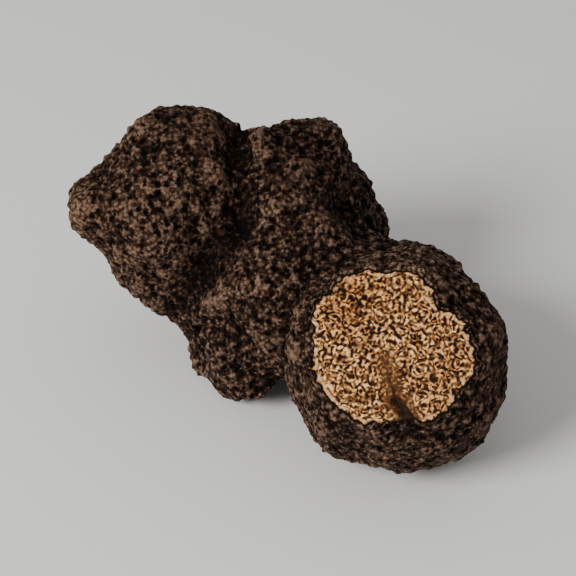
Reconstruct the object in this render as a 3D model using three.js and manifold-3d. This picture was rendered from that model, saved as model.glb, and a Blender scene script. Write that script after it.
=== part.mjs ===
// A black truffle, lying as it came to rest, with a thin cap sliced off its front lobe.
// It grew as one body, so it is one closed solid: lobes run together with furrows between them, and the
// whole skin is covered in low polygonal warts, each a small pyramid that meets its neighbours in a valley.
// Millimetres, +Z up. The sliced lobe faces -Y, and the longest extent is along X.
import * as THREE from "three";
import { ConvexHull } from "three/addons/math/ConvexHull.js";
import { SimplexNoise } from "three/addons/math/SimplexNoise.js";
import { mergeVertices } from "three/addons/utils/BufferGeometryUtils.js";
import Module from "manifold-3d";

// Driving dimensions.
// Each lobe is an ellipsoid: its middle, and its half sizes along x, y and z.
// The sliced lobe is in front on the right, the great lobe behind on the left, the rear lobe behind them.
const lobes = {
  sliced: { middle: [25, -16, 26], half: [25.2, 24.5, 26.2] },
  slicedBack: { middle: [27, 9, 21], half: [18, 17, 19] },
  slicedShoulder: { middle: [39.5, -25.4, 40], half: [5.5, 5.5, 5.5] },
  slicedBrow: { middle: [24.2, -30.3, 35.2], half: [14, 14, 5.5] },
  slicedNeck: { middle: [9.6, -15.4, 35], half: [5.5, 5.5, 9.6] },
  great: { middle: [-28, 25, 39.5], half: [19.5, 20, 20] },
  greatCrown: { middle: [-25.4, 31, 54.3], half: [12.2, 10, 10.4] },
  greatCheek: { middle: [-44, 26, 41], half: [7, 9, 7] },
  greatCheekFront: { middle: [-41.5, 18, 45], half: [8, 8, 7] },
  greatCheekBack: { middle: [-41.5, 35, 33.5], half: [9, 10, 10] },
  greatChin: { middle: [-29, 16, 27.5], half: [9, 9, 9.5] },
  greatShoulder: { middle: [-18, 27, 47], half: [9, 9, 9] },
  greatBack: { middle: [-29, 36, 27], half: [15, 14, 17] },
  rear: { middle: [4, 32, 41], half: [14, 16, 17] },
  rearFront: { middle: [0.5, 17.5, 41.5], half: [10.5, 12, 12.5] },
  rearKnob: { middle: [7, 36, 52.5], half: [5.5, 7, 6] },
  rearRidge: { middle: [-6, 28, 50.5], half: [6, 8, 8.5] },
  rearFlank: { middle: [15.5, 33, 30.5], half: [9, 11, 10] },
  fold: { middle: [-11, 19, 33.5], half: [10, 10, 9] },
  middle: { middle: [-11.5, 9, 30.5], half: [10.5, 11, 12] },
  middleFoot: { middle: [-10.5, 1, 11.5], half: [9.5, 8.5, 9] },
  middleHeel: { middle: [-22, 14, 22], half: [6, 10, 8] },
  keel: { middle: [-12, 11, 12], half: [12, 11, 12.4] },
  saddle: { middle: [1, 12, 33], half: [15, 14, 13] },
  core: { middle: [4, 9, 27], half: [20, 20, 20] },
  heel: { middle: [-14, 30, 19], half: [17, 17, 19.8] },
  rearFoot: { middle: [13, 30, 16], half: [16, 15, 16.6] },
};
const furrowSoftness = 2.0; // how gently one lobe runs into the next
// Deep furrows, each along its points: how deep it sinks into the skin, and how wide it opens.
const furrows = [
  { path: [[-12.5, 29, 59], [-11, 18, 53], [-8.5, 12, 47]], depth: 2.2, width: 2.8 },
  {
    path: [[-8.5, 12, 47], [-13, 7, 44], [-17, 5, 40], [-20.5, 4, 34.5], [-24.5, 4.5, 28]],
    depth: 4.6,
    width: 3,
  },
  { path: [[-13, -4, 26.5], [-8.5, -6, 23.5]], depth: 2.4, width: 2 },
  { path: [[8, 0, 45], [2, -7, 40], [0.5, -11, 33], [-1, -12, 26]], depth: 1.8, width: 2.6 },
];
const swellHeight = 1.5; // broad unevenness of the lobes
const swellLength = 17;
const lumpHeight = 0.7; // smaller unevenness
const lumpLength = 8;

const wartCount = 1900;
const wartRise = 0.5; // from the mean skin up to a wart's tip
const valleyDrop = 0.35; // from the mean skin down to the valley between warts
const wartVariation = 0.35; // share by which one wart's height differs from the next
const wartShake = 0.75; // how far a wart may be off its even place
const settlingRounds = 12; // rounds that spread the warts evenly over the skin
const candidatesPerWart = 7; // places on the skin that each wart's place is picked from

// Where the skin has smaller warts or handling has rubbed them, and the share of their height that is left.
const lowPatches = [
  { middle: [-14, 0, 35], radius: 11, left: 0.3 },
  { middle: [5, 16, 49], radius: 15, left: 0.5 },
];

const restDepth = 0.7; // how much the resting plane takes off the lowest lobes
const slice = {
  distance: 17.7, // from the sliced lobe's middle to the cut
  elevation: 45, // degrees above the horizon that the cut faces
  turn: 20, // degrees to the left
};

const randomSeed = 20417;

// A repeatable random number source from 0 to 1.
function makeRandom(seed) {
  let state = seed >>> 0;
  return () => {
    state = (state + 0x6d2b79f5) >>> 0;
    let mixed = Math.imul(state ^ (state >>> 15), 1 | state);
    mixed = (mixed + Math.imul(mixed ^ (mixed >>> 7), 61 | mixed)) ^ mixed;
    return ((mixed ^ (mixed >>> 14)) >>> 0) / 4294967296;
  };
}
const random = makeRandom(randomSeed);
const noise = new SimplexNoise({ random });

// Distance from a lobe's surface, negative inside.
function lobeDistance(p, { middle, half }) {
  const x = p.x - middle[0];
  const y = p.y - middle[1];
  const z = p.z - middle[2];
  const scaled = Math.hypot(x / half[0], y / half[1], z / half[2]);
  const slope = Math.hypot(x / half[0] ** 2, y / half[1] ** 2, z / half[2] ** 2);
  return slope > 0 ? (scaled * (scaled - 1)) / slope : -Math.min(...half);
}

// How deep the furrows are at a point.
const furrowLines = furrows.flatMap(({ path, depth, width }) =>
  path.slice(1).map((end, i) => ({
    line: new THREE.Line3(new THREE.Vector3(...path[i]), new THREE.Vector3(...end)),
    depth,
    width,
  })),
);
const nearest = new THREE.Vector3();
function furrowDepth(p) {
  let deepest = 0;
  for (const { line, depth, width } of furrowLines) {
    const away = line.closestPointToPoint(p, true, nearest).distanceTo(p);
    deepest = Math.max(deepest, depth * Math.exp(-((away / width) ** 2)));
  }
  return deepest;
}

// Height above the mean skin: the lobes run together over furrowSoftness, less the swells and lumps.
function heightAboveSkin(p) {
  let sum = 0;
  for (const lobe of Object.values(lobes)) {
    sum += Math.exp(-lobeDistance(p, lobe) / furrowSoftness);
  }
  const swell = noise.noise3d(p.x / swellLength, p.y / swellLength, p.z / swellLength);
  const lump = noise.noise3d(p.x / lumpLength, p.y / lumpLength, p.z / lumpLength);
  return furrowDepth(p) - furrowSoftness * Math.log(sum) - swellHeight * swell - lumpHeight * lump;
}

// The outward direction at a point, with the slope of the height there as its length.
function slopeAt(p) {
  const step = 0.05;
  const probe = new THREE.Vector3();
  const along = (x, y, z) =>
    (heightAboveSkin(probe.set(p.x + x, p.y + y, p.z + z)) -
      heightAboveSkin(probe.set(p.x - x, p.y - y, p.z - z))) / (2 * step);
  return new THREE.Vector3(along(step, 0, 0), along(0, step, 0), along(0, 0, step));
}

// Moves a point to the given height above the mean skin.
function moveToHeight(p, height) {
  const rounds = 3;
  const longestStep = 2;
  for (let i = 0; i < rounds; i++) {
    const slope = slopeAt(p);
    const gap = height - heightAboveSkin(p);
    const step = THREE.MathUtils.clamp(gap / Math.max(slope.length(), 0.3), -longestStep, longestStep);
    p.addScaledVector(slope.normalize(), step);
  }
  return p;
}

// Even directions over a sphere, each shaken a little.
function evenDirections(count) {
  const goldenTurn = Math.PI * (3 - Math.sqrt(5));
  return Array.from({ length: count }, (_, i) => {
    const z = 1 - (2 * i + 1) / count;
    const radius = Math.sqrt(1 - z * z);
    return new THREE.Vector3(radius * Math.cos(i * goldenTurn), radius * Math.sin(i * goldenTurn), z);
  });
}

// The outermost point of the skin in one direction from the core.
function skinTowards(direction) {
  const core = new THREE.Vector3(...lobes.core.middle);
  const farthest = 110;
  const closeEnough = 0.1;
  const caution = 0.6;
  const p = new THREE.Vector3();
  let reach = farthest;
  let height = heightAboveSkin(p.copy(core).addScaledVector(direction, reach));
  while (height > closeEnough) {
    reach -= caution * height;
    height = heightAboveSkin(p.copy(core).addScaledVector(direction, reach));
  }
  return p;
}

// Picks places one by one, each time the one that is farthest from all that are taken.
function pickEvenly(places, count) {
  const gaps = new Array(places.length).fill(Infinity);
  const picked = [0];
  while (picked.length < count) {
    const last = places[picked[picked.length - 1]];
    let farthest = 0;
    places.forEach((place, i) => {
      gaps[i] = Math.min(gaps[i], place.distanceToSquared(last));
      if (gaps[i] > gaps[farthest]) farthest = i;
    });
    picked.push(farthest);
  }
  return picked;
}

// Triangles that join neighbouring directions, from their convex hull.
function joinNeighbours(directions) {
  const index = new Map(directions.map((d, i) => [d, i]));
  const hull = new ConvexHull().setFromPoints(directions);
  return hull.faces.map((face) => {
    const corners = [];
    let edge = face.edge;
    do {
      corners.push(index.get(edge.head().point));
      edge = edge.next;
    } while (edge !== face.edge);
    return corners;
  });
}

const edgeKey = (a, b, count) => a * count + b;

// For each directed edge of the triangles, the triangle on its left.
function edgesOf(triangles, count) {
  const left = new Map();
  triangles.forEach(([a, b, c], face) => {
    left.set(edgeKey(a, b, count), face);
    left.set(edgeKey(b, c, count), face);
    left.set(edgeKey(c, a, count), face);
  });
  return left;
}

const oppositeCorner = (triangle, a, b) => triangle.find((corner) => corner !== a && corner !== b);

function cornerAngle(at, from, to) {
  return from.clone().sub(at).angleTo(to.clone().sub(at));
}

// Turns each edge that runs the long way across its two triangles.
function turnLongEdges(triangles, points) {
  const count = points.length;
  const fewestNeighbours = 4;
  const neighbours = new Array(count).fill(0);
  triangles.flat().forEach((corner) => neighbours[corner]++);
  const left = edgesOf(triangles, count);
  const turned = new Set();
  for (let first = 0; first < triangles.length; first++) {
    for (let side = 0; side < 3; side++) {
      const a = triangles[first][side];
      const b = triangles[first][(side + 1) % 3];
      const second = left.get(edgeKey(b, a, count));
      if (a > b || turned.has(first) || turned.has(second)) continue;
      const c = oppositeCorner(triangles[first], a, b);
      const d = oppositeCorner(triangles[second], a, b);
      const [pa, pb] = [points[a], points[b]];
      const angles = cornerAngle(points[c], pa, pb) + cornerAngle(points[d], pa, pb);
      const taken = left.has(edgeKey(c, d, count)) || left.has(edgeKey(d, c, count));
      if (angles <= Math.PI + 0.02 || taken) continue;
      if (neighbours[a] <= fewestNeighbours || neighbours[b] <= fewestNeighbours) continue;
      triangles[first] = [a, d, c];
      triangles[second] = [d, b, c];
      neighbours[a]--;
      neighbours[b]--;
      neighbours[c]++;
      neighbours[d]++;
      turned.add(first).add(second);
      left.set(edgeKey(c, d, count), second);
      left.set(edgeKey(d, c, count), first);
    }
  }
  return turned.size;
}

// One round of spreading: each point moves towards the middle of its neighbours, and back onto the skin.
function spreadPoints(triangles, points) {
  const sums = points.map(() => new THREE.Vector3());
  const shares = new Array(points.length).fill(0);
  const middle = new THREE.Vector3();
  for (const [a, b, c] of triangles) {
    const [pa, pb, pc] = [points[a], points[b], points[c]];
    middle.copy(pa).add(pb).add(pc).divideScalar(3);
    const area = new THREE.Triangle(pa, pb, pc).getArea();
    for (const corner of [a, b, c]) {
      sums[corner].addScaledVector(middle, area);
      shares[corner] += area;
    }
  }
  points.forEach((p, i) => {
    p.lerp(sums[i].divideScalar(shares[i]), 0.7);
    moveToHeight(p, 0);
  });
}

// Shakes each point along the skin, so that no two warts have the same outline.
function shakePoints(points) {
  const push = new THREE.Vector3();
  for (const p of points) {
    push.set(random() - 0.5, random() - 0.5, random() - 0.5).projectOnPlane(slopeAt(p).normalize());
    moveToHeight(p.addScaledVector(push.normalize(), wartShake * random()), 0);
  }
}

// Wart places spread over the skin, and the triangles that join neighbours.
function placeWarts() {
  const directions = evenDirections(wartCount * candidatesPerWart);
  const places = directions.map(skinTowards);
  const picked = pickEvenly(places, wartCount);
  const triangles = joinNeighbours(picked.map((i) => directions[i]));
  const points = picked.map((i) => moveToHeight(places[i], 0));
  for (let round = 0; round < settlingRounds; round++) {
    while (turnLongEdges(triangles, points) > 0);
    spreadPoints(triangles, points);
  }
  shakePoints(points);
  while (turnLongEdges(triangles, points) > 0);
  return { triangles, points };
}

// Share of a wart's height that is left at a point.
function wear(p) {
  const shares = lowPatches.map(({ middle, radius, left }) => {
    const away = p.distanceTo(new THREE.Vector3(...middle));
    return THREE.MathUtils.lerp(left, 1, THREE.MathUtils.smoothstep(away, 0.5 * radius, radius));
  });
  return Math.min(...shares);
}

// The warty skin: every wart is a pyramid, from its tip down to a valley point in the middle of each
// triangle round it.
function raiseWarts({ triangles, points }) {
  const tips = points.map((p) => {
    const rise = wartRise * (1 + wartVariation * (2 * random() - 1));
    return moveToHeight(p.clone(), rise * wear(p));
  });
  const valleys = triangles.map(([a, b, c]) => {
    const middle = points[a].clone().add(points[b]).add(points[c]).divideScalar(3);
    return moveToHeight(middle, -valleyDrop * wear(middle));
  });
  const left = edgesOf(triangles, points.length);
  const flanks = [];
  triangles.forEach(([a, b, c], face) => {
    for (const [from, to] of [[a, b], [b, c], [c, a]]) {
      const across = left.get(edgeKey(to, from, points.length));
      flanks.push([from, points.length + across, points.length + face]);
    }
  });
  return { corners: [...tips, ...valleys], faces: flanks };
}

const { Manifold, Mesh } = await Module().then((library) => {
  library.setup();
  return library;
});

function toSolid({ corners, faces }) {
  const vertProperties = new Float32Array(corners.flatMap((p) => [p.x, p.y, p.z]));
  return new Manifold(new Mesh({ numProp: 3, vertProperties, triVerts: new Uint32Array(faces.flat()) }));
}

function toGeometry(solid) {
  const { vertProperties, triVerts } = solid.getMesh();
  const geometry = new THREE.BufferGeometry();
  geometry.setAttribute("position", new THREE.BufferAttribute(new Float32Array(vertProperties), 3));
  geometry.setIndex(Array.from(triVerts));
  return mergeVertices(geometry, 1e-3);
}

// Takes the cap off the sliced lobe, and a little off every lobe that the body lies on.
function cut(solid) {
  const up = THREE.MathUtils.degToRad(slice.elevation);
  const left = THREE.MathUtils.degToRad(slice.turn);
  const outward = new THREE.Vector3(-Math.sin(left), -Math.cos(left), 0).multiplyScalar(Math.cos(up));
  outward.z = Math.sin(up);
  const depth = outward.dot(new THREE.Vector3(...lobes.sliced.middle)) + slice.distance;
  return solid.trimByPlane(outward.negate().toArray(), -depth).trimByPlane([0, 0, 1], restDepth);
}

// The origin goes to the resting plane, under the middle of the body.
const geometry = toGeometry(cut(toSolid(raiseWarts(placeWarts()))));
geometry.computeBoundingBox();
const { min, max } = geometry.boundingBox;
geometry.translate(-(min.x + max.x) / 2, -(min.y + max.y) / 2, -min.z);
geometry.computeVertexNormals();

const skin = new THREE.MeshStandardMaterial({ color: 0x2a2320, roughness: 0.9 });
const body = new THREE.Mesh(geometry, skin);
body.name = "truffle";
const truffle = new THREE.Group();
truffle.add(body);
export default truffle;
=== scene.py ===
import math

import bpy
import numpy as np
from mathutils import Matrix, Vector, kdtree, noise


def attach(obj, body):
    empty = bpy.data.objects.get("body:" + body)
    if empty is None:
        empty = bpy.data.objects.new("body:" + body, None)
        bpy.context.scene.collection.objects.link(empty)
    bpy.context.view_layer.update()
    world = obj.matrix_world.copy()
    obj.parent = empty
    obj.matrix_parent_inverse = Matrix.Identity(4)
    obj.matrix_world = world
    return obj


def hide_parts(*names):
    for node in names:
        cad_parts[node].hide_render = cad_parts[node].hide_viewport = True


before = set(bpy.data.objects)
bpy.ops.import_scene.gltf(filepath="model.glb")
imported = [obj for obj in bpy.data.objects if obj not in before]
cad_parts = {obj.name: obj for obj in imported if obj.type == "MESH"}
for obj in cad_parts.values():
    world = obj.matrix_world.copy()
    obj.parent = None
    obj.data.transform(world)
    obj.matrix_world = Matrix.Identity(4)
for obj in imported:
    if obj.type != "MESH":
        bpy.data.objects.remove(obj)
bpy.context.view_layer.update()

# The truffle's body. It grew as one piece, so one mesh carries the skin and the cut flesh.
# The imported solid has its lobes, furrows and warts already. A copy of it is cut finer, so that
# each wart can be worn, cracked and pitted as the real skin is.
mm = 0.001
on_flat = 0.005 * mm  # how far off a flat a point may be and still belong to it
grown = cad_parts["truffle"]
bpy.ops.object.select_all(action="DESELECT")
truffle = grown.copy()
truffle.data = grown.data.copy()
truffle.name = truffle.data.name = "truffle_body"
for note in list(truffle.keys()):
    del truffle[note]
truffle.parent = None
bpy.context.scene.collection.objects.link(truffle)
truffle.data.materials.clear()
truffle.select_set(True)
bpy.context.view_layer.objects.active = truffle
bpy.ops.mesh.customdata_custom_splitnormals_clear()
bpy.ops.object.mode_set(mode="EDIT")
bpy.ops.mesh.select_mode(type="FACE")
bpy.ops.mesh.select_all(action="SELECT")
bpy.ops.mesh.remove_doubles(threshold=0.001 * mm)
bpy.ops.object.mode_set(mode="OBJECT")

# The cut. The knife went through the front lobe in one stroke, so it is a true plane, scalloped round the
# edge where it crosses the warts. It gets a square mesh, fine enough for the flesh to carry its fissure.
cut_elevation = math.radians(45)
cut_turn = math.radians(20)  # to the left of the front
cut_normal = Vector(
    (
        -math.sin(cut_turn) * math.cos(cut_elevation),
        -math.cos(cut_turn) * math.cos(cut_elevation),
        math.sin(cut_elevation),
    )
)
cut_across = Vector((0, 0, 1)).cross(cut_normal).normalized()
cut_up = cut_normal.cross(cut_across)
facing_knife = [face for face in truffle.data.polygons if face.normal.dot(cut_normal) > 0.9999]
cut_level = max(facing_knife, key=lambda face: face.area).center.dot(cut_normal)


def on_cut(face):
    """Whether a face lies in the plane of the cut."""
    level = face.center.dot(cut_normal)
    return abs(level - cut_level) < on_flat and face.normal.dot(cut_normal) > 0.999


cut_faces = [face for face in truffle.data.polygons if on_cut(face)]
for face in truffle.data.polygons:
    face.select = on_cut(face)
cut_area = sum(face.area for face in cut_faces)
cut_middle = sum((face.center * face.area for face in cut_faces), Vector()) / cut_area
cut_reach = 26 * mm  # a little more than half the width of the cut
mesh_step = 0.5 * mm
bpy.ops.object.mode_set(mode="EDIT")
bpy.ops.mesh.dissolve_faces()
bpy.ops.mesh.hide(unselected=True)
for line_way in (cut_across, cut_up):
    offset = -cut_reach
    while offset < cut_reach:
        bpy.ops.mesh.select_all(action="SELECT")
        on_line = cut_middle + offset * line_way
        bpy.ops.mesh.bisect(plane_co=on_line, plane_no=line_way, threshold=0.02 * mm)
        offset += mesh_step
bpy.ops.mesh.reveal(select=False)
bpy.ops.object.mode_set(mode="OBJECT")

# The flat map for the finish: the skin is unrolled from the shape under the warts, in a few
# large patches, and the cut face lies flat beside them, larger, because its veins are finer.
truffle.data.uv_layers.active = truffle.data.uv_layers.new(name="OFBake")
for face in truffle.data.polygons:
    face.select = not on_cut(face)
warty = np.empty(3 * len(truffle.data.vertices), np.float32)
bpy.ops.object.mode_set(mode="EDIT")
bpy.ops.mesh.quads_convert_to_tris()
bpy.ops.object.mode_set(mode="OBJECT")
truffle.data.vertices.foreach_get("co", warty)
bpy.ops.object.mode_set(mode="EDIT")
bpy.ops.mesh.vertices_smooth(factor=0.5, repeat=20)
bpy.ops.uv.smart_project(angle_limit=math.radians(66), island_margin=0.003)
bpy.ops.object.mode_set(mode="OBJECT")
truffle.data.vertices.foreach_set("co", warty)
truffle.data.update()

# A corner that lies lower than those round it is a pit, where warts meet.
corners = warty.reshape(-1, 3)
ends = np.empty(2 * len(truffle.data.edges), np.int32)
truffle.data.edges.foreach_get("vertices", ends)
ends = ends.reshape(-1, 2)
round_about = np.zeros_like(corners)
neighbours = np.zeros(len(corners), int)
for here, there in (ends.T, ends.T[::-1]):
    np.add.at(round_about, here, corners[there])
    np.add.at(neighbours, here, 1)
lift = corners - round_about / neighbours[:, None]
rise = (lift * np.array([vertex.normal for vertex in truffle.data.vertices])).sum(axis=1)
least_drop = 0.05 * mm  # of a corner below those round it
pits = [Vector(corners[i]) for i in np.flatnonzero(rise < -least_drop)]

# The cut face is laid on the flat map, and the patches are packed.
skin_map_area = 0.5  # the part of the map that the skin fills
skin_area = sum(face.area for face in truffle.data.polygons if not on_cut(face))
flesh_enlarged = 2.2  # how much larger than the skin the flesh lies on the map
map_scale = flesh_enlarged * math.sqrt(skin_map_area / skin_area)
flat_map = truffle.data.uv_layers["OFBake"]
for face in truffle.data.polygons:
    if on_cut(face):
        for corner in face.loop_indices:
            place = truffle.data.vertices[truffle.data.loops[corner].vertex_index].co - cut_middle
            flat_map.uv[corner].vector = (map_scale * place.dot(cut_across), map_scale * place.dot(cut_up))
bpy.context.scene.tool_settings.use_uv_select_sync = True
bpy.ops.object.mode_set(mode="EDIT")
bpy.ops.mesh.select_all(action="SELECT")
bpy.ops.uv.pack_islands(margin=0.004, rotate=True)
bpy.ops.object.mode_set(mode="OBJECT")

# The skin is then divided until a wart has about a hundred facets.
bpy.ops.object.mode_set(mode="EDIT")
bpy.ops.mesh.select_all(action="DESELECT")
bpy.ops.object.mode_set(mode="OBJECT")
for face in truffle.data.polygons:
    face.select = not on_cut(face)
bpy.ops.object.mode_set(mode="EDIT")
bpy.ops.mesh.subdivide(number_cuts=3)
bpy.ops.mesh.select_all(action="SELECT")
bpy.ops.mesh.quads_convert_to_tris(ngon_method="BEAUTY")
bpy.ops.object.mode_set(mode="OBJECT")


def places_of(mesh):
    """The mesh's points, one to a row."""
    places = np.empty(3 * len(mesh.vertices), np.float32)
    mesh.vertices.foreach_get("co", places)
    return places.reshape(-1, 3)


as_cut = places_of(truffle.data)
in_cut = np.abs(as_cut @ np.array(cut_normal) - cut_level) < on_flat
cut_facets = [on_cut(face) for face in truffle.data.polygons]
on_floor = as_cut[:, 2] < on_flat

# Wear of the warts: their ridges are rounded off, a net of shallow cracks splits them into grains, and the
# grains are uneven. Rounding lowers the tips, and cracks and grains only take skin away, so that nothing
# reaches past the solid's box.
worn = truffle.modifiers.new("worn_ridges", "SMOOTH")
worn.factor = 0.5
worn.iterations = 7
crack_depth = 0.22 * mm
cracks = bpy.data.textures.new("wart_cracks", "VORONOI")
cracks.noise_scale = 1.5 * mm
cracks.weight_1 = -1
cracks.weight_2 = 1
cracks.noise_intensity = 2
cracks.use_color_ramp = True
cracks.color_ramp.elements[0].position = 0.0
cracks.color_ramp.elements[0].color = (0, 0, 0, 1)
cracks.color_ramp.elements[1].position = 0.45
cracks.color_ramp.elements[1].color = (1, 1, 1, 1)
grain_depth = 0.45 * mm
grains = bpy.data.textures.new("wart_grains", "CLOUDS")
grains.noise_scale = 1.4 * mm
grains.noise_depth = 1
for texture, depth in ((cracks, crack_depth), (grains, grain_depth)):
    carve = truffle.modifiers.new(texture.name, "DISPLACE")
    carve.texture = texture
    carve.texture_coords = "LOCAL"
    carve.mid_level = 1.0
    carve.strength = depth
for modifier in list(truffle.modifiers):
    bpy.ops.object.modifier_apply(modifier=modifier.name)
carved = places_of(truffle.data)


def smoothed(rounds):
    """The skin under the warts, and the way out of it at each point."""
    under = truffle.copy()
    under.data = truffle.data.copy()
    bpy.context.scene.collection.objects.link(under)
    bpy.context.view_layer.objects.active = under
    levelled = under.modifiers.new("levelled", "SMOOTH")
    levelled.factor = 0.5
    levelled.iterations = rounds
    bpy.ops.object.modifier_apply(modifier=levelled.name)
    places = places_of(under.data)
    outward = np.array([vertex.normal for vertex in under.data.vertices])
    bpy.data.objects.remove(under)
    bpy.context.view_layer.objects.active = truffle
    return places, outward


# Where warts meet there is a pit. Each pit has its own depth and width: its depth is a
# share of the deepest, and a deep pit is wider.
mean_skin, outward = smoothed(rounds=60)
deepest_pit = 0.8 * mm
pit_depths = np.random.default_rng(7).uniform(0.1, 1.0, len(pits))
pit_tree = kdtree.KDTree(len(pits))
for i, pit in enumerate(pits):
    pit_tree.insert(pit, i)
pit_tree.balance()
pitted = np.zeros(len(carved), np.float32)
for i, place in enumerate(carved):
    _, nearest, away = pit_tree.find(place)
    width = (0.35 + 0.3 * pit_depths[nearest]) * mm
    pitted[i] = pit_depths[nearest] * math.exp(-((away / width) ** 2))
pitted[in_cut] = 0
carved -= (deepest_pit * pitted)[:, None] * outward

# The cut and the flats that it rests on stay flat.
off_plane = carved[in_cut] @ np.array(cut_normal) - cut_level
carved[in_cut] -= off_plane[:, None] * np.array(cut_normal)
carved[on_floor, 2] = 0
carved[:, 2] = np.maximum(carved[:, 2], 0)

# Each point keeps how high it stands on its wart, so that the skin can be coloured darker in the pits and
# paler on the tips.
standing = ((carved - mean_skin) * outward).sum(axis=1)

# The rind is a thin dark line round the flesh. Past it a ragged band of skin shows, where the knife only
# skimmed the warts. A point of the cut keeps how far inside that band it is, and how far from the fissure
# that runs up from the lower edge, both in millimetres. Both lie a little lower than the flesh.
edge_points = set()
for edge in truffle.data.edges:
    a, b = edge.vertices
    if in_cut[a] != in_cut[b]:
        edge_points.add(a if in_cut[a] else b)
rim = kdtree.KDTree(len(edge_points))
for i in edge_points:
    rim.insert(Vector(carved[i]), i)
rim.balance()

# The width of the band, by the direction from the middle of the cut in degrees.
rind_widths = (
    (0, 0.7),
    (20, 0.8),
    (38, 0.3),
    (58, 0.8),
    (81, 1.8),
    (100, 1.2),
    (134, 1.5),
    (160, 0.7),
    (183, 1.3),
    (191, 2.0),
    (200, 0.4),
    (220, 1.4),
    (236, 2.5),
    (258, 1.8),
    (275, 0.7),
    (300, 0.6),
    (330, 0.7),
    (345, 0.4),
)
narrowest_rind = 0.15
rind_depth = 0.45 * mm

# The line of the fissure, across and up from the middle of the cut, and half its width at each point.
fissure_path = ((9.3, -18.4), (8.1, -14.4), (6.8, -12.6), (5.2, -10.8), (3.5, -8.3), (1.7, -5.1), (0, -1.8))
fissure = [Vector(point) for point in fissure_path]
fissure_half_widths = (2.2, 1.9, 1.5, 1.6, 0.6, 0.3, 0.0)
fissure_depth = 0.9 * mm

inside_rind = np.zeros(len(carved), np.float32)
from_fissure = np.zeros(len(carved), np.float32)
for i in np.flatnonzero(in_cut):
    point = Vector(carved[i])
    spot = point - cut_middle
    flat = Vector((spot.dot(cut_across), spot.dot(cut_up))) / mm
    scallop = noise.noise(Vector((flat.x, flat.y, 3.1)) * 0.36)
    ragged = noise.noise(Vector((flat.x, flat.y, 7.7)) * 0.9)
    direction = math.degrees(math.atan2(flat.y, flat.x))
    width = np.interp(direction, *zip(*rind_widths), period=360) + 0.6 * scallop + 0.3 * ragged
    inside_rind[i] = rim.find(point)[2] / mm - max(width, narrowest_rind)
    waver = spot / mm * 0.4
    flat += 0.7 * Vector((noise.noise(waver), noise.noise(waver + Vector((9, 4, 2)))))
    nearest = math.inf
    for k in range(len(fissure) - 1):
        along = fissure[k + 1] - fissure[k]
        share = min(max((flat - fissure[k]).dot(along) / along.length_squared, 0), 1)
        half = fissure_half_widths[k] + share * (fissure_half_widths[k + 1] - fissure_half_widths[k])
        nearest = min(nearest, (flat - fissure[k] - share * along).length - half)
    from_fissure[i] = nearest
below_rind = np.clip((0.2 - inside_rind) / 0.6, 0, 1) * rind_depth
below_flesh = np.clip(-from_fissure / 1.2, 0, 1) * fissure_depth
inner = in_cut.copy()
inner[list(edge_points)] = False
carved[inner] -= np.maximum(below_rind, below_flesh)[inner, None] * np.array(cut_normal)
truffle.data.vertices.foreach_set("co", carved.ravel())
truffle.data.update()
for label, values in (
    ("wart_height", standing / mm),
    ("pit_depth", pitted),
    ("inside_rind", inside_rind),
    ("from_fissure", from_fissure),
):
    mark = truffle.data.attributes.new(label, "FLOAT", "POINT")
    mark.data.foreach_set("value", values.astype(np.float32))


# Shader helpers, for the skin here and for the flesh below.
def feed(tree, socket, value):
    """Links a socket to an output, or sets it to a plain value."""
    if isinstance(value, bpy.types.NodeSocket):
        tree.links.new(value, socket)
    else:
        socket.default_value = value


def node_in(tree, kind, **values):
    """A node with its sockets and settings set."""
    node = tree.nodes.new("ShaderNode" + kind)
    for name, value in values.items():
        socket = node.inputs.get(name.replace("_", " "))
        if socket is None or not socket.enabled:
            setattr(node, name, value)
        else:
            feed(tree, socket, value)
    return node


def math_in(tree, operation, first, second=0.0):
    """The result of a sum on one or two numbers."""
    node = tree.nodes.new("ShaderNodeMath")
    node.operation = operation
    feed(tree, node.inputs[0], first)
    feed(tree, node.inputs[1], second)
    return node.outputs["Value"]


def blend_in(tree, share, first, second, way="MIX"):
    """The first colour, giving way to the second by a share of 0 to 1."""
    node = tree.nodes.new("ShaderNodeMix")
    node.data_type = "RGBA"
    node.blend_type = way
    for socket, value in zip((node.inputs[0], node.inputs[6], node.inputs[7]), (share, first, second)):
        feed(tree, socket, value)
    return node.outputs[2]


def ramp_in(tree, value, *stops):
    """The colour that a value picks from stops, each a place from 0 to 1 and a colour."""
    node = tree.nodes.new("ShaderNodeValToRGB")
    elements = node.color_ramp.elements
    elements[0].position, elements[0].color = stops[0]
    elements[1].position, elements[1].color = stops[-1]
    for position, color in stops[1:-1]:
        elements.new(position).color = color
    tree.links.new(value, node.inputs["Fac"])
    return node.outputs["Color"]


def group_of(name, inputs, outputs):
    """A new node group, with what comes into it and what it puts out."""
    group = bpy.data.node_groups.new(name, "ShaderNodeTree")
    for label, kind, default in inputs:
        socket = group.interface.new_socket(name=label, in_out="INPUT", socket_type=kind)
        socket.default_value = default
    for label, kind in outputs:
        group.interface.new_socket(name=label, in_out="OUTPUT", socket_type=kind)
    return group, group.nodes.new("NodeGroupInput").outputs, group.nodes.new("NodeGroupOutput").inputs


def place_group(tree, group, **values):
    """A node group, placed in a material with its own values."""
    node = tree.nodes.new("ShaderNodeGroup")
    node.node_tree = group
    for name, value in values.items():
        feed(tree, node.inputs[name], value)
    return node


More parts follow.
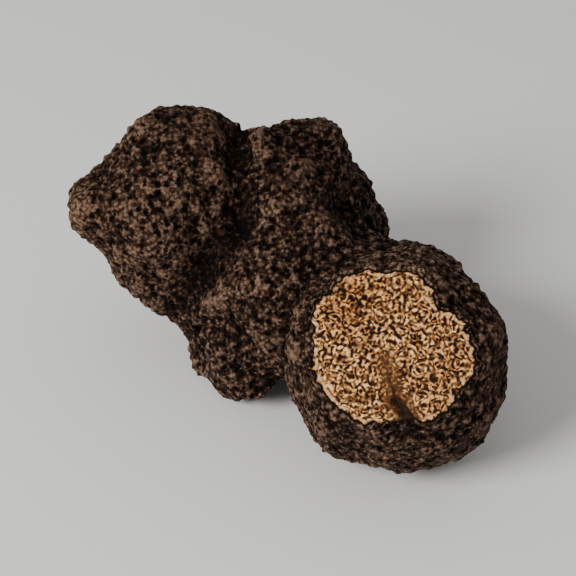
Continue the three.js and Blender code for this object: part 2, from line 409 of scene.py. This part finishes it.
# Fine grain: rough knobs, and over them a net of broken ridges with a small dark hole in most of its meshes.
# Grain is how many knobs lie along a metre.
grain_group, given, put_out = group_of(
    "fine_grain",
    [("Grain", "NodeSocketFloat", 800.0)],
    [("Height", "NodeSocketFloat"), ("Ridges", "NodeSocketFloat"), ("Holes", "NodeSocketFloat")],
)
where = node_in(grain_group, "TexCoord").outputs["Object"]
coarse = node_in(grain_group, "TexNoise", Vector=where, Scale=given["Grain"], Detail=3.0, Roughness=0.7)
uneven = coarse.outputs["Fac"]
cells = node_in(grain_group, "TexVoronoi", Vector=where, Scale=given["Grain"]).outputs["Distance"]
rounded = math_in(grain_group, "MULTIPLY", math_in(grain_group, "SUBTRACT", 0.8, cells), 0.5)
grain_group.links.new(math_in(grain_group, "ADD", rounded, uneven), put_out["Height"])
meshes = math_in(grain_group, "MULTIPLY", given["Grain"], 0.56)
for feature, start, end, label in (("DISTANCE_TO_EDGE", 0.12, 0.3, "Ridges"), ("F1", 0.38, 0.56, "Holes")):
    net = node_in(grain_group, "TexVoronoi", feature=feature, Vector=where, Scale=meshes)
    wide = math_in(grain_group, "ADD", net.outputs["Distance"], math_in(grain_group, "MULTIPLY", uneven, 0.4))
    share = node_in(grain_group, "MapRange", interpolation_type="SMOOTHSTEP", Value=wide)
    for name, value in (("From Min", start), ("From Max", end), ("To Min", 1.0), ("To Max", 0.0)):
        share.inputs[name].default_value = value
    grain_group.links.new(share.outputs["Result"], put_out[label])

# A soft round patch on the skin, for the places where it is paler or darker.
patch_group, given, put_out = group_of(
    "soft_patch",
    [("Centre", "NodeSocketVector", (0, 0, 0)), ("Radius", "NodeSocketFloat", 0.01)],
    [("Mask", "NodeSocketFloat")],
)
where = node_in(patch_group, "TexCoord").outputs["Object"]
away = node_in(patch_group, "VectorMath", operation="DISTANCE")
patch_group.links.new(where, away.inputs[0])
patch_group.links.new(given["Centre"], away.inputs[1])
ragged = node_in(patch_group, "TexNoise", Vector=where, Scale=260.0, Detail=3.0)
share = math_in(patch_group, "DIVIDE", away.outputs["Value"], given["Radius"])
share = math_in(patch_group, "ADD", share, math_in(patch_group, "SUBTRACT", ragged.outputs["Fac"], 0.5))
soft = node_in(
    patch_group,
    "MapRange",
    interpolation_type="SMOOTHSTEP",
    Value=share,
    From_Min=0.5,
    From_Max=1.1,
    To_Min=1.0,
    To_Max=0.0,
)
patch_group.links.new(soft.outputs["Result"], put_out["Mask"])

# Skin: charcoal brown, coloured greyer where it stands high on the warts and near black in the pits, matt and
# rough. How pale it is comes from the height on the wart, the fine grain, the pits and broad blotches, each
# with its own weight; the paler ridges of the grain are a painted highlight.
skin = bpy.data.materials.new("skin")
skin.use_nodes = True
tree = skin.node_tree
surface = tree.nodes["Principled BSDF"]
surface.inputs["Specular IOR Level"].default_value = 0.08
height = node_in(tree, "Attribute", attribute_name="wart_height").outputs["Fac"]
grain = place_group(tree, grain_group, Grain=1000.0)
pit = node_in(tree, "Attribute", attribute_name="pit_depth").outputs["Fac"]
blotches = node_in(
    tree, "TexNoise", Vector=node_in(tree, "TexCoord").outputs["Object"], Scale=90.0, Detail=4.0
).outputs["Fac"]
height = node_in(tree, "Clamp", Value=height, Min=-0.5, Max=0.6).outputs["Result"]
paleness = math_in(tree, "MULTIPLY", height, 0.8)
for weight, part in (
    (2.3, grain.outputs["Height"]),
    # Painted highlight: the ridges of the grain net are coloured paler.
    (0.3, grain.outputs["Ridges"]),
    (-0.6, grain.outputs["Holes"]),
    (-0.6, pit),
    (0.4, blotches),
):
    paleness = math_in(tree, "ADD", paleness, math_in(tree, "MULTIPLY", part, weight))
darkest, lightest = 0.92, 2.45
spread = node_in(tree, "MapRange", Value=paleness, From_Min=darkest, From_Max=lightest)
skin_shades = (
    (0.0, (0.0012, 0.0004, 0.0002, 1)),
    (0.3, (0.009, 0.0038, 0.0021, 1)),
    (0.55, (0.036, 0.018, 0.0105, 1)),
    (1.0, (0.185, 0.11, 0.071, 1)),
)
tint = ramp_in(tree, spread.outputs["Result"], *skin_shades)

# Patches, each with its middle and radius in millimetres, and the tint that the skin there is multiplied by.
# The patches along the furrow, on the crown, on the rear lobe, on its flank and on the right side of the
# sliced lobe are painted shade.
# Painted shade: the skin is darkened along the furrow below the great lobe, on its lower right side.
painted_furrow_shade = (0.6, 0.55, 0.55, 1)
skin_tone_and_shade_patches = (
    ((-46, 16, 42), 15, (1.08, 1.05, 0.95, 1)),  # the cheek of the great lobe, paler
    ((-11, 3, 43.5), 7, painted_furrow_shade),
    ((-16, 0, 39), 7, painted_furrow_shade),
    ((-20, -0.5, 33.5), 7, painted_furrow_shade),
    ((-22, 27, 64), 13, (0.7, 0.66, 0.63, 1)),  # the crown of the great lobe
    ((3, 22, 52), 15, (0.7, 0.66, 0.66, 1)),  # the rear lobe
    ((24, 18, 34), 22, (0.8, 0.82, 0.92, 1)),  # its flank
    ((46, -14, 22), 26, (0.75, 0.66, 0.6, 1)),  # the right side of the sliced lobe
)
for centre, radius, color in skin_tone_and_shade_patches:
    mask = place_group(tree, patch_group, Centre=[c * mm for c in centre], Radius=radius * mm).outputs["Mask"]
    tint = blend_in(tree, mask, tint, color, "MULTIPLY")
tree.links.new(tint, surface.inputs["Base Color"])
dull = node_in(
    tree, "MapRange", Value=paleness, From_Min=darkest, From_Max=lightest, To_Min=0.95, To_Max=0.7
)
tree.links.new(dull.outputs["Result"], surface.inputs["Roughness"])
relief = grain.outputs["Height"]
for weight, part in ((0.3, grain.outputs["Ridges"]), (-0.6, grain.outputs["Holes"])):
    relief = math_in(tree, "ADD", relief, math_in(tree, "MULTIPLY", part, weight))
bumps = node_in(tree, "Bump", Height=relief, Strength=1.0, Distance=0.45 * mm)
tree.links.new(bumps.outputs["Normal"], surface.inputs["Normal"])

# Flesh: cream veins wind through brown flesh, in loops and whorls, with dark gaps between them. The pattern
# is laid out on the flat of the cut, in millimetres from its middle: across to the right, and up.
flesh = bpy.data.materials.new("flesh")
flesh.use_nodes = True
tree = flesh.node_tree
surface = tree.nodes["Principled BSDF"]
surface.inputs["Specular IOR Level"].default_value = 0.08
cut_frame = Matrix((cut_across, cut_up, cut_normal)).transposed()
on_face = node_in(tree, "Mapping", vector_type="TEXTURE")
on_face.inputs["Location"].default_value = cut_middle
on_face.inputs["Rotation"].default_value = cut_frame.to_euler()
on_face.inputs["Scale"].default_value = (mm, mm, mm)
tree.links.new(node_in(tree, "TexCoord").outputs["Object"], on_face.inputs["Vector"])
place = on_face.outputs["Vector"]


def moved(vector, offset):
    """The vector moved by a plain offset."""
    node = node_in(tree, "VectorMath", operation="ADD")
    tree.links.new(vector, node.inputs[0])
    node.inputs[1].default_value = offset
    return node.outputs["Vector"]


def swayed(vector, sway, amount):
    """The vector moved either way by the values of a noise, which lie round 0.5, times the amount."""
    node = node_in(tree, "VectorMath", operation="MULTIPLY_ADD")
    tree.links.new(sway, node.inputs[0])
    node.inputs[1].default_value = (amount, amount, amount)
    tree.links.new(moved(vector, (-amount / 2, -amount / 2, -amount / 2)), node.inputs[2])
    return node.outputs["Vector"]


wander = node_in(tree, "TexNoise", Vector=place, Scale=0.35, Detail=1.0).outputs["Color"]
winding = swayed(place, wander, 1.3)
long_way = node_in(tree, "TexNoise", Vector=winding, Scale=0.4, Detail=1.0, Roughness=0.4).outputs["Fac"]
short_way = node_in(
    tree, "TexNoise", Vector=moved(winding, (17.3, 5.1, 9.7)), Scale=1.25, Detail=0.6
).outputs["Fac"]
long_veins = math_in(tree, "SINE", math_in(tree, "MULTIPLY", long_way, 36.0))
short_veins = math_in(tree, "SUBTRACT", short_way, 0.5)
long_veins = math_in(tree, "MULTIPLY", long_veins, 0.52)
veins = math_in(tree, "ADD", long_veins, math_in(tree, "MULTIPLY", short_veins, 4.2))
flutter = node_in(tree, "TexNoise", Vector=place, Scale=0.5, Detail=2.0).outputs["Color"]
winding_little = swayed(place, flutter, 2.0)


def distance_to(point):
    """How far each place on the cut is from a point of it, along slightly winding ways."""
    node = node_in(tree, "VectorMath", operation="DISTANCE")
    tree.links.new(winding_little, node.inputs[0])
    node.inputs[1].default_value = (point[0], point[1], 0)
    return node.outputs["Value"]


def within(value, inner, outer):
    """1 up to the inner value, falling to 0 at the outer one."""
    ends = {"From_Min": inner, "From_Max": outer, "To_Min": 1.0, "To_Max": 0.0}
    return node_in(tree, "MapRange", interpolation_type="SMOOTHSTEP", Value=value, **ends).outputs["Result"]


def between(first, second, share):
    """The first value, giving way to the second by a share of 0 to 1."""
    node = node_in(tree, "Mix", data_type="FLOAT")
    for socket, value in zip(node.inputs[0:1] + node.inputs[2:4], (share, first, second)):
        feed(tree, socket, value)
    return node.outputs[0]


# Three whorls, each with its middle, how far it reaches, the spacing of its rings and the turn they start at.
whorls = (
    ((-1.0, 14.8), 3.4, 1.35, 2.4),
    ((4.8, 14.9), 1.8, 2.1, 3.4),
    ((11.6, -4.0), 1.9, 1.8, 3.1),
)
for point, reach, spacing, turn in whorls:
    away = distance_to(point)
    turned = math_in(tree, "ADD", math_in(tree, "MULTIPLY", away, 2 * math.pi / spacing), turn)
    rings = math_in(tree, "SINE", turned)
    veins = between(veins, rings, math_in(tree, "MULTIPLY", within(away, 0.5 * reach, reach), 0.65))

# The colours of the veins, browner in patches, in mottles, in specks and at the upper left.
edge = node_in(tree, "Attribute", attribute_name="inside_rind").outputs["Fac"]
cleft = node_in(tree, "Attribute", attribute_name="from_fissure").outputs["Fac"]
patches = node_in(tree, "TexNoise", Vector=place, Scale=0.1, Detail=2.0).outputs["Fac"]
patchy = node_in(
    tree, "MapRange", interpolation_type="SMOOTHSTEP", Value=patches, From_Min=0.45, From_Max=0.66
).outputs["Result"]
spread = node_in(tree, "MapRange", Value=veins, From_Min=-0.8, From_Max=0.75)
tint = ramp_in(
    tree,
    spread.outputs["Result"],
    (0.0, (0.007, 0.0022, 0.0006, 1)),
    (0.17, (0.035, 0.012, 0.003, 1)),
    (0.35, (0.13, 0.053, 0.015, 1)),
    (0.66, (0.3, 0.142, 0.049, 1)),
    (1.0, (0.88, 0.52, 0.23, 1)),
)
tint = blend_in(tree, math_in(tree, "MULTIPLY", patchy, 0.6), tint, (0.76, 0.66, 0.52, 1), "MULTIPLY")
elsewhere = moved(place, (4.2, 8.8, 1.9))
mottled = node_in(tree, "TexNoise", Vector=elsewhere, Scale=0.9, Detail=2.0).outputs["Fac"]
mottled = math_in(tree, "SUBTRACT", 1.0, within(mottled, 0.44, 0.6))
tint = blend_in(tree, mottled, tint, (0.62, 0.52, 0.42, 1), "MULTIPLY")
specks = node_in(tree, "TexVoronoi", Vector=elsewhere, Scale=0.75).outputs["Distance"]
specks = math_in(tree, "MULTIPLY", within(specks, 0.12, 0.34), 0.8)
tint = blend_in(tree, specks, tint, (0.02, 0.007, 0.002, 1))
upper_left = distance_to((-9.5, 8.0))
tint = blend_in(tree, within(upper_left, 1.0, 13.0), tint, (0.8, 0.71, 0.58, 1), "MULTIPLY")

# A cream vein runs just inside the rind, broken here and there.
broken = node_in(tree, "TexNoise", Vector=place, Scale=0.5, Detail=2.0).outputs["Fac"]
broken = node_in(tree, "MapRange", interpolation_type="SMOOTHSTEP", Value=broken, From_Min=0.42, From_Max=0.6)
loop = within(math_in(tree, "ABSOLUTE", math_in(tree, "SUBTRACT", edge, 0.5)), 0.12, 0.5)
loop = math_in(tree, "MULTIPLY", loop, broken.outputs["Result"])
tint = blend_in(tree, math_in(tree, "MULTIPLY", loop, 0.7), tint, (0.76, 0.44, 0.2, 1))

# The fissure is brown at its sides and nearly black in its depth.
frayed = node_in(tree, "TexNoise", Vector=place, Scale=0.9, Detail=2.0).outputs["Fac"]
cleft = math_in(tree, "ADD", cleft, math_in(tree, "MULTIPLY", math_in(tree, "SUBTRACT", frayed, 0.5), 2.4))
sides = math_in(tree, "MULTIPLY", within(cleft, -0.2, 3.2), 0.75)
tint = blend_in(tree, sides, tint, (0.085, 0.03, 0.009, 1))
deepest = math_in(tree, "MULTIPLY", within(cleft, -0.9, 0.4), 0.92)
tint = blend_in(tree, deepest, tint, (0.008, 0.003, 0.001, 1))

# Past the rind's dark line the band has the colour and the grain of the skin.
grain = place_group(tree, grain_group, Grain=1000.0)
rough_rind = node_in(tree, "MapRange", Value=grain.outputs["Height"], From_Min=0.38, From_Max=0.8)
rind_tint = ramp_in(tree, rough_rind.outputs["Result"], *skin_shades)
rind_tint = blend_in(tree, within(edge, -0.7, -0.3), (0.004, 0.0018, 0.001, 1), rind_tint)
tint = blend_in(tree, within(edge, -0.1, 0.18), tint, rind_tint)
tree.links.new(tint, surface.inputs["Base Color"])
surface.inputs["Roughness"].default_value = 0.7
knobs = math_in(tree, "MULTIPLY", grain.outputs["Height"], 7.0)
relief = between(spread.outputs["Result"], knobs, within(edge, -0.1, 0.18))
bumps = node_in(tree, "Bump", Height=relief, Strength=0.6, Distance=0.15 * mm)
tree.links.new(bumps.outputs["Normal"], surface.inputs["Normal"])

truffle.data.materials.append(skin)
truffle.data.materials.append(flesh)
for face in truffle.data.polygons:
    face.material_index = 1 if cut_facets[face.index] else 0
bpy.ops.object.shade_smooth_by_angle(angle=math.radians(50))

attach(truffle, "root")
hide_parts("truffle")

# Floor. A broad sheet of pale matt paper under the truffle. It only sets the scene, and is no part of the
# object.
bpy.ops.object.select_all(action="DESELECT")
bpy.ops.mesh.primitive_plane_add(size=4)
floor = bpy.context.object
floor.name = "floor"
paper = bpy.data.materials.new("floor")
paper.use_nodes = True
paper.node_tree.nodes["Principled BSDF"].inputs["Base Color"].default_value = (0.8, 0.795, 0.78, 1)
floor.data.materials.append(paper)

# Light. A pale sky from all round, and a round soft lamp above the front left, which looks at the truffle.
world = bpy.data.worlds.new("studio")
bpy.context.scene.world = world
world.use_nodes = True
world.node_tree.nodes["Background"].inputs["Color"].default_value = (1, 0.99, 0.97, 1)
world.node_tree.nodes["Background"].inputs["Strength"].default_value = 0.5
bpy.ops.object.light_add(type="AREA", location=(-0.7, -0.6, 0.65))
lamp = bpy.context.object
lamp.data.shape = "DISK"
lamp.data.size = 0.5
lamp.data.energy = 15.3
lamp_aim = Vector((0, 0, 30)) * mm
lamp.rotation_euler = (lamp_aim - lamp.location).to_track_quat("-Z", "Y").to_euler()

# Camera. It looks down on the front at the photograph's angle, through a long lens, at a point near the
# middle of the truffle.
eye_elevation = math.radians(37)
eye_distance = 456 * mm
sight = Vector((1.15, 5.4, 26.8)) * mm
towards_eye = Vector((0, -math.cos(eye_elevation), math.sin(eye_elevation)))
bpy.ops.object.camera_add(location=sight + eye_distance * towards_eye)
camera = bpy.context.object
camera.rotation_euler = (math.pi / 2 - eye_elevation, 0, 0)
camera.data.lens = 120
camera.data.clip_start = 0.01
bpy.context.scene.camera = camera
